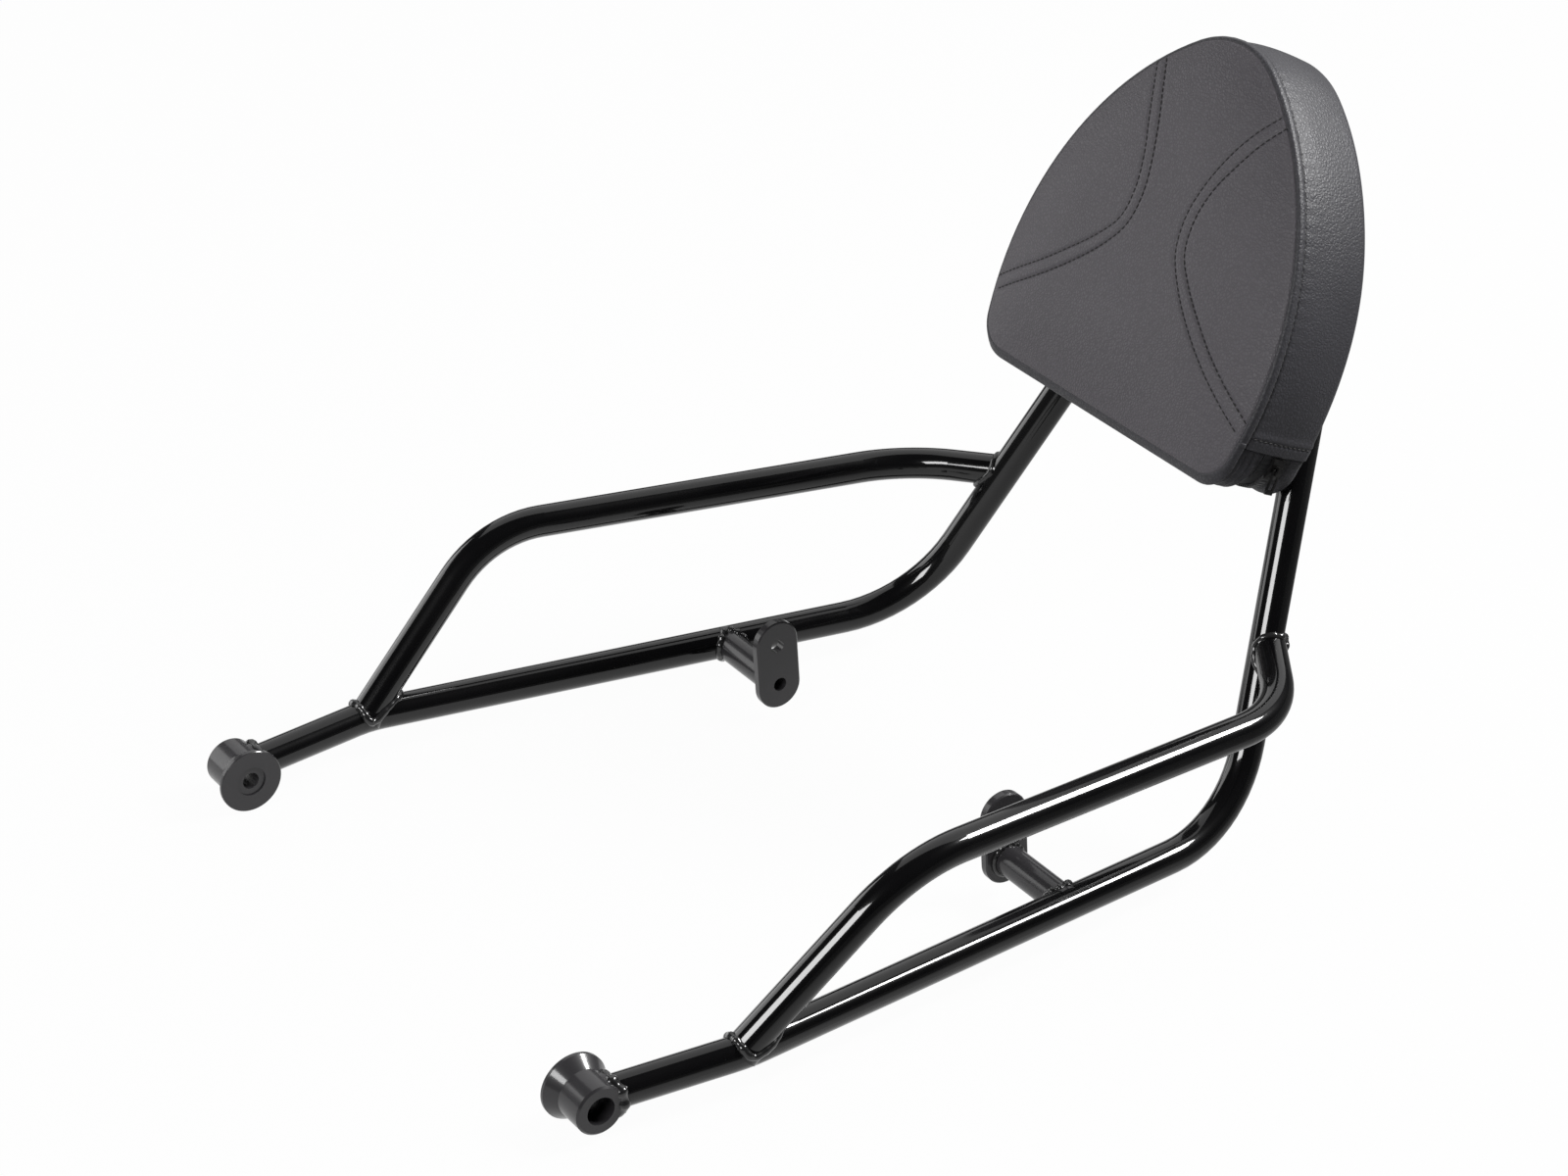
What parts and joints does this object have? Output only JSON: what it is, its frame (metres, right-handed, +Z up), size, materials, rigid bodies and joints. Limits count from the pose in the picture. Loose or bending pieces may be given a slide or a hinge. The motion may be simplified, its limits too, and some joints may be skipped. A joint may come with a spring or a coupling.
{
  "type": "sissy bar",
  "caption": "Motorbike backrest bar: bent tube loop with side handrails, bolt-on bosses and plates, and a zipped leatherette pad.",
  "frame": {"origin": "midway between the two front bosses, on their bolt axis", "axes": "+X to the bike's right along the front bolt axis, +Y rearwards, +Z up with the arms level"},
  "size_m": [0.4704, 0.641, 0.4474],
  "materials": {
    "gloss_black_coat": "gloss",
    "satin_black_coat": "satin",
    "zinc_steel": "satin",
    "plywood": "matte",
    "foam": "matte",
    "leatherette": "satin",
    "zip_tape": "matte",
    "zip_teeth": "satin",
    "zip_metal": "satin"
  },
  "bodies": {
    "bar": {"loop_tube": "gloss_black_coat", "handrail_right": "gloss_black_coat", "handrail_left": "gloss_black_coat", "front_boss_right": "satin_black_coat", "front_boss_left": "satin_black_coat", "rear_plate_right": "satin_black_coat", "rear_plate_left": "satin_black_coat", "plate_stub_right": "satin_black_coat", "plate_stub_left": "satin_black_coat", "pad_strap_lower": "satin_black_coat", "pad_strap_upper": "satin_black_coat", "pad_screws": "zinc_steel", "pad_washers": "zinc_steel", "tee_nuts": "zinc_steel", "pad_board": "plywood", "pad_foam": "foam", "back_panel": "leatherette", "front_panel_middle": "leatherette", "front_panel_right": "leatherette", "front_panel_left": "leatherette", "side_band": "leatherette", "gusset_front": "leatherette", "gusset_rear": "leatherette", "zip_tape_front": "zip_tape", "zip_tape_rear": "zip_tape", "zip_chain": "zip_teeth"},
    "zip_slider": {"zip_slider": "zip_metal"},
    "zip_pull": {"zip_pull": "zip_metal"}
  },
  "joints": [
    {"name": "zip_slider_run", "type": "hinge", "parent": "bar", "child": "zip_slider", "pos_m": [0.09758, 0.51508, 0.21712], "axis": [0, 0.9212, -0.3891], "range_deg": [0, 60]},
    {"name": "zip_pull_swing", "type": "hinge", "parent": "zip_slider", "child": "zip_pull", "pos_m": [0.12366, 0.51348, 0.21333], "axis": [0, -0.9212, 0.3891], "range_deg": [-15, 120]}
  ]
}
